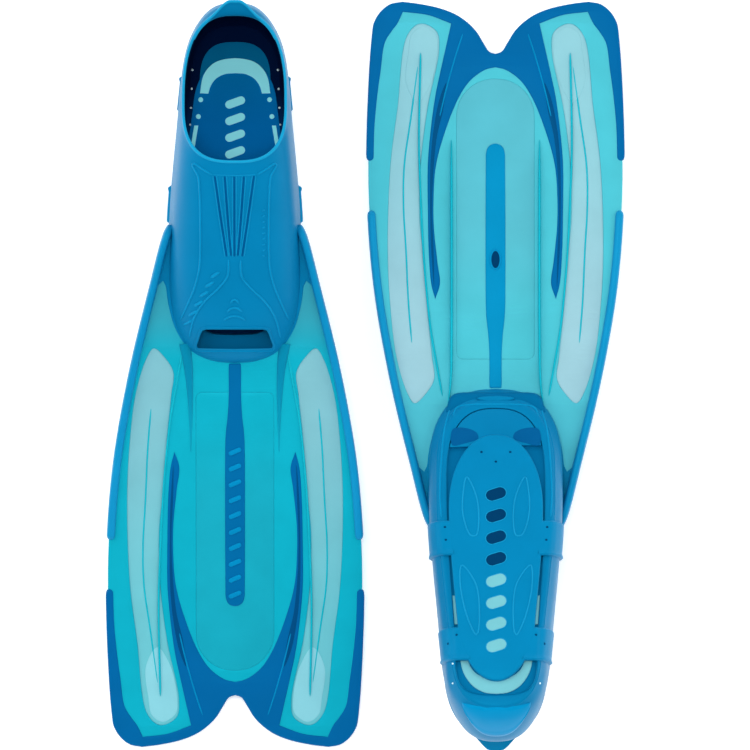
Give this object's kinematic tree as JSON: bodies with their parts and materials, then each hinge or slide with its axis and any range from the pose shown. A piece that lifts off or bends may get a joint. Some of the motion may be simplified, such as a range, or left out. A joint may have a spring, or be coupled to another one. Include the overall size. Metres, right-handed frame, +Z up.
{
  "type": "pair of full-foot swim fins",
  "caption": "Full-foot swim fins for snorkelling: soft foot pockets moulded on flexible, channelled blades with forked tips.",
  "frame": {"origin": "centre of the pair's footprint, on the floor the fins lie on", "axes": "+Y along the fins, from the left fin's blade tip to its heel; +Z up; +X towards the right fin"},
  "size_m": [0.4004, 0.5771, 0.1247],
  "materials": {
    "pocket_rubber": "satin",
    "sole_rubber": "satin",
    "insole_rubber": "satin",
    "frame_plastic": "satin",
    "blade_plastic": "satin",
    "trim_rubber": "satin",
    "spine_rubber": "satin",
    "rail_rubber": "satin"
  },
  "bodies": {
    "left foot pocket": {"left_foot_pocket": "pocket_rubber", "left_blade_root": "blade_plastic", "left_sole_frame": "frame_plastic", "left_outsole": "sole_rubber", "left_insole": "insole_rubber", "left_heel_tread": "sole_rubber", "left_front_strap_a": "sole_rubber", "left_front_strap_b": "sole_rubber", "left_rear_strap_a": "sole_rubber", "left_rear_strap_b": "sole_rubber"},
    "right foot pocket": {"right_foot_pocket": "pocket_rubber", "right_blade_root": "blade_plastic", "right_sole_frame": "frame_plastic", "right_outsole": "sole_rubber", "right_insole": "insole_rubber", "right_heel_tread": "sole_rubber", "right_front_strap_a": "sole_rubber", "right_front_strap_b": "sole_rubber", "right_rear_strap_a": "sole_rubber", "right_rear_strap_b": "sole_rubber"},
    "left blade": {"left_blade": "blade_plastic", "left_tip_trim": "trim_rubber", "left_blade_spine": "spine_rubber", "left_side_rail_a": "rail_rubber", "left_side_rail_b": "rail_rubber"},
    "right blade": {"right_blade": "blade_plastic", "right_tip_trim": "trim_rubber", "right_blade_spine": "spine_rubber", "right_side_rail_a": "rail_rubber", "right_side_rail_b": "rail_rubber"}
  },
  "joints": [
    {"name": "left blade flex", "type": "hinge", "parent": "left foot pocket", "child": "left blade", "pos_m": [-0.1005, 0.00268, 0.04445], "axis": [1, 0, 0], "range_deg": [-20, 20], "stiffness_Nm_per_rad": 20},
    {"name": "right fin lift", "type": "slide", "parent": "left foot pocket", "child": "right foot pocket", "axis": [0, 0, 1], "range_m": [0, 0.15]},
    {"name": "right blade flex", "type": "hinge", "parent": "right foot pocket", "child": "right blade", "pos_m": [0.1005, -0.00376, 0.02409], "axis": [1, 0, 0], "range_deg": [-20, 20], "stiffness_Nm_per_rad": 20}
  ]
}
